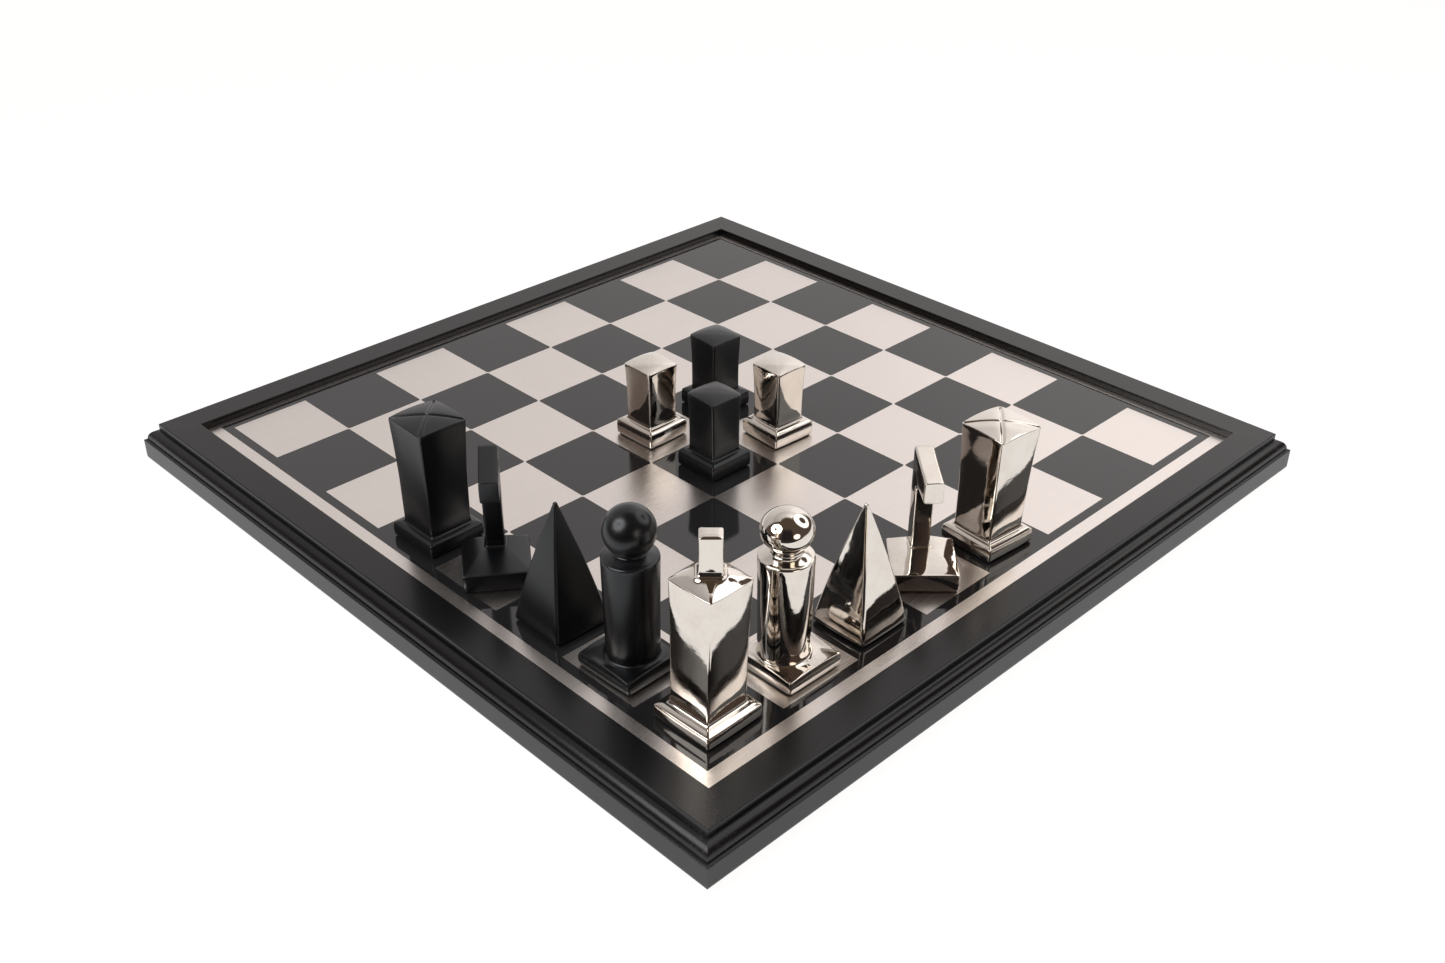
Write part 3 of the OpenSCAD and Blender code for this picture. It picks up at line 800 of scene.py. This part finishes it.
def tableLook():
    # bright where the table reaches; past its near edge the reflections meet the dark room
    s = {"edgeWay": (-0.909, -0.417, 0), "edgeAt": 0.43, "soft": 0.015, "pale": (0.93, 0.93, 0.93),
         "paler": (0.95, 0.95, 0.95), "paperShare": 0.1, "bright": 1.08, "gloom": (0.03, 0.026, 0.026)}
    look = Look("table")
    spot = look.coords()
    edge = [(s["edgeAt"] - s["soft"], 0), (s["edgeAt"] + s["soft"], 1)]
    beyond = look.ramp(look.dot(spot, s["edgeWay"]), edge)
    seen = look.node("ShaderNodeLightPath", output="Is Camera Ray")
    paper = look.node("ShaderNodeBsdfDiffuse", None, {
        "Color": look.blend(look.cloud(spot, 3, 3), s["pale"], s["paler"])})
    lit = look.node("ShaderNodeEmission", None, {"Color": (1, 0.99, 0.985, 1), "Strength": s["bright"]})
    gloom = look.node("ShaderNodeEmission", None, {"Color": (*s["gloom"], 1)})
    table = look.node("ShaderNodeMixShader", None, {0: s["paperShare"], 1: lit, 2: paper})
    mixed = look.node("ShaderNodeMixShader", None, {0: beyond * (1 - seen), 1: table, 2: gloom})
    look.tree.links.new(mixed.socket, look.surface)
    return look.data


floorMesh.materials.append(tableLook())
floor = bpy.data.objects.new("floor", floorMesh)
floor.location.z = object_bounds()[0].z - 0.0002
bpy.context.scene.collection.objects.link(floor)


def aim(azimuth, elevation):
    a, e = math.radians(azimuth), math.radians(elevation)
    return math.cos(a) * math.cos(e), math.sin(a) * math.cos(e), math.sin(e)


def makeUmbrella(name, centre, outer, inner, power):
    # a ring-shaped umbrella lamp, facing the board and unseen by the camera
    look = Look(name)
    glow = look.node("ShaderNodeEmission", None, {"Color": (1, 0.985, 0.97, 1), "Strength": power})
    look.tree.links.new(glow.socket, look.surface)
    bm = bmesh.new()
    strip = [bm.verts.new((inner, 0, 0)), bm.verts.new((outer, 0, 0))]
    bmesh.ops.spin(bm, geom=[*strip, bm.edges.new(strip)], cent=(0, 0, 0), axis=(0, 0, 1), angle=2 * math.pi,
                   steps=48, use_merge=True)
    mesh = bpy.data.meshes.new(name)
    bm.to_mesh(mesh)
    bm.free()
    mesh.materials.append(look.data)
    lamp = bpy.data.objects.new(name, mesh)
    lamp.location = centre
    lamp.rotation_mode = "QUATERNION"
    lamp.rotation_quaternion = Vector(centre).to_track_quat("Z", "Y")
    lamp.visible_camera = False
    bpy.context.scene.collection.objects.link(lamp)


umbrellas = {
    "umbrellaRight": {"centre": (0.51, -0.36, 0.65), "outer": 0.43, "inner": 0.17, "power": 1.8},
    "umbrellaLeft": {"centre": (-0.75, 0.04, 0.62), "outer": 0.35, "inner": 0.09, "power": 5.0},
}
for name, s in umbrellas.items():
    makeUmbrella(name, s["centre"], s["outer"], s["inner"], s["power"])


def studioSky():
    # a pale sweep behind the board that brightens towards the right-hand lamp, and a dim room round it
    s = {"sweepAim": 66, "sweep": (1, 0.955, 0.94), "brightAim": 15, "room": (0.10, 0.072, 0.06),
         "ceiling": (0.097, 0.07, 0.05), "backCeiling": (0.3, 0.245, 0.195), "dark": (0.023, 0.019, 0.02),
         "door": (2.2, 1.9, 1.6), "doorAim": (-98, 12)}
    sky = Look("studio", world=True)
    ray = sky.node("ShaderNodeTexCoord", output="Generated")

    def towards(azimuth, elevation):
        return sky.dot(ray, aim(azimuth, elevation))
    height = towards(0, 90)
    level = (1.0001 - height * height) ** 0.5
    room = sky.blend(sky.ramp(towards(-138, 0) / level, [(0.85, 0), (0.95, 1)]), s["room"], s["dark"])
    back = sky.ramp(towards(45, 0) / level, [(0.5, 0), (0.85, 1)])
    upper = sky.blend(back * sky.ramp(height, [(0.94, 1), (0.97, 0)]), s["ceiling"], s["backCeiling"])
    room = sky.blend(sky.ramp(height, [(0.7, 0), (0.88, 1)]), room, upper)
    edges = sky.ramp(towards(s["sweepAim"], 0) / level, [(0.5, 0), (0.64, 1)])
    sweep = edges * sky.ramp(height, [(0.6, 1), (0.7, 0.78), (0.8, 0.85), (0.88, 1), (0.92, 1), (0.95, 0)])
    strength = 1.5 * sky.ramp(towards(s["brightAim"], 0) / level, [
        (0.0, 0.4), (0.26, 0.43), (0.731, 0.55), (0.809, 0.58), (0.92, 0.68), (0.951, 0.79), (1.0, 0.86)])
    glow = sky.node("ShaderNodeBackground", None, {"Color": room})
    bright = sky.node("ShaderNodeBackground", None, {"Color": (*s["sweep"], 1), "Strength": strength})
    glow = sky.node("ShaderNodeMixShader", None, {0: sweep, 1: glow, 2: bright})
    door = sky.ramp(towards(*s["doorAim"]), [(0.972, 0), (0.978, 1)])
    warm = sky.node("ShaderNodeBackground", None, {"Color": (*s["door"], 1), "Strength": door})
    total = sky.node("ShaderNodeAddShader", None, {0: glow, 1: warm})
    plain = sky.node("ShaderNodeBackground", None, {"Color": (1, 1, 1, 1)})
    seen = sky.node("ShaderNodeLightPath", output="Is Camera Ray")
    mixed = sky.node("ShaderNodeMixShader", None, {0: seen, 1: total, 2: plain})
    sky.tree.links.new(mixed.socket, sky.surface)
    return sky.data


bpy.context.scene.world = studioSky()
bpy.context.scene.view_settings.view_transform = "Standard"
print("scene ready")
